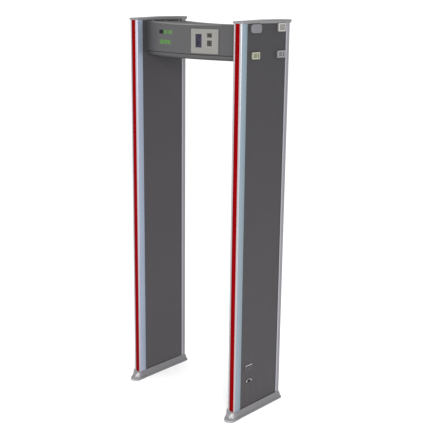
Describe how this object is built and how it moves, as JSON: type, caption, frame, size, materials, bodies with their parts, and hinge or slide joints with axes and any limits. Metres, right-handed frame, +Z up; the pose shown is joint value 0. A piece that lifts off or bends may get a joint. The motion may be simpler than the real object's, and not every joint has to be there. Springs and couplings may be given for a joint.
{
  "type": "walk-through metal detector gate",
  "caption": "Walk-through metal-detector archway: two grey sensor panels with red light strips on base shoes, joined by a bowed beam with keypad, LCD and alarm counter.",
  "frame": {"origin": "On the floor, at the middle of the gate's whole footprint, which the shoes' round toes take 25 mm forward of the panels' middle and 2 mm to the right of the passage's middle.", "axes": "+X to the right of someone facing the control side, +Y through the gate from the control side to the rear, +Z up"},
  "size_m": [0.886, 0.47, 2.22],
  "materials": {
    "profile_silver": "satin",
    "skin_grey": "matte",
    "core_board": "matte",
    "coil_tape": "matte",
    "lens_red": "gloss",
    "led_board": "matte",
    "cap_grey": "matte",
    "shoe_grey": "matte",
    "screw_steel": "satin",
    "cup_chrome": "polished",
    "beam_grey": "satin",
    "chin_grey": "matte",
    "sheet_steel": "matte",
    "fascia_grey": "satin",
    "overlay_grey": "satin",
    "lcd_glass": "gloss",
    "lcd_dark": "gloss",
    "circuit_board": "matte",
    "key_dark": "matte",
    "display_tint": "satin",
    "digit_green": "satin",
    "receiver_black": "gloss",
    "supply_case": "satin",
    "sounder_black": "matte",
    "cable_grey": "matte",
    "cable_black": "matte",
    "cover_lilac": "satin",
    "frame_white": "satin",
    "inlet_black": "satin",
    "bezel_dark": "satin",
    "rocker_black": "satin"
  },
  "bodies": {
    "gate": {"anchor_cups": "cup_chrome", "beam_bolts": "screw_steel", "beam_chassis": "sheet_steel", "bolt_covers": "cover_lilac", "bottom_tray": "chin_grey", "cap_screws": "screw_steel", "coil_cables": "cable_grey", "control_overlay": "overlay_grey", "control_plate": "fascia_grey", "cover_screws": "screw_steel", "display_board": "circuit_board", "display_digits": "digit_green", "display_window": "display_tint", "front_cover": "beam_grey", "inlet_screws": "screw_steel", "keypad_board": "circuit_board", "lcd_module": "lcd_dark", "lcd_window": "lcd_glass", "left_cap": "cap_grey", "left_coil": "coil_tape", "left_core": "core_board", "left_end_plate": "sheet_steel", "left_front_profile": "profile_silver", "left_inner_skin": "skin_grey", "left_led_strip": "led_board", "left_lens": "lens_red", "left_outer_skin": "skin_grey", "left_rear_profile": "profile_silver", "left_shoe": "shoe_grey", "main_board": "circuit_board", "mains_cable": "cable_black", "open_bolt_covers": "frame_white", "power_inlet": "inlet_black", "power_supply": "supply_case", "rear_cover": "beam_grey", "receiver_window": "receiver_black", "right_cap": "cap_grey", "right_coil": "coil_tape", "right_core": "core_board", "right_end_plate": "sheet_steel", "right_front_profile": "profile_silver", "right_inner_skin": "skin_grey", "right_led_strip": "led_board", "right_lens": "lens_red", "right_outer_skin": "skin_grey", "right_rear_profile": "profile_silver", "right_shoe": "shoe_grey", "shoe_screws": "screw_steel", "sounder": "sounder_black", "switch_bezel": "bezel_dark", "top_cover": "beam_grey"},
    "key_1": {"key_1": "key_dark"},
    "key_2": {"key_2": "key_dark"},
    "key_3": {"key_3": "key_dark"},
    "key_4": {"key_4": "key_dark"},
    "key_5": {"key_5": "key_dark"},
    "key_6": {"key_6": "key_dark"},
    "key_7": {"key_7": "key_dark"},
    "key_8": {"key_8": "key_dark"},
    "power_rocker": {"power_rocker": "rocker_black"}
  },
  "joints": [
    {"name": "key_1_press", "type": "slide", "parent": "gate", "child": "key_1", "axis": [-0.113, 0.9936, 0], "range_m": [0, 0.001], "stiffness_N_per_m": 600},
    {"name": "key_2_press", "type": "slide", "parent": "gate", "child": "key_2", "axis": [-0.113, 0.9936, 0], "range_m": [0, 0.001], "stiffness_N_per_m": 600},
    {"name": "key_3_press", "type": "slide", "parent": "gate", "child": "key_3", "axis": [-0.113, 0.9936, 0], "range_m": [0, 0.001], "stiffness_N_per_m": 600},
    {"name": "key_4_press", "type": "slide", "parent": "gate", "child": "key_4", "axis": [-0.113, 0.9936, 0], "range_m": [0, 0.001], "stiffness_N_per_m": 600},
    {"name": "key_5_press", "type": "slide", "parent": "gate", "child": "key_5", "axis": [-0.113, 0.9936, 0], "range_m": [0, 0.001], "stiffness_N_per_m": 600},
    {"name": "key_6_press", "type": "slide", "parent": "gate", "child": "key_6", "axis": [-0.113, 0.9936, 0], "range_m": [0, 0.001], "stiffness_N_per_m": 600},
    {"name": "key_7_press", "type": "slide", "parent": "gate", "child": "key_7", "axis": [-0.113, 0.9936, 0], "range_m": [0, 0.001], "stiffness_N_per_m": 600},
    {"name": "key_8_press", "type": "slide", "parent": "gate", "child": "key_8", "axis": [-0.113, 0.9936, 0], "range_m": [0, 0.001], "stiffness_N_per_m": 600},
    {"name": "power_rocker_turn", "type": "hinge", "parent": "gate", "child": "power_rocker", "pos_m": [0.415, -0.062, 0.281], "axis": [0, 0, -1], "range_deg": [0, 14]}
  ]
}
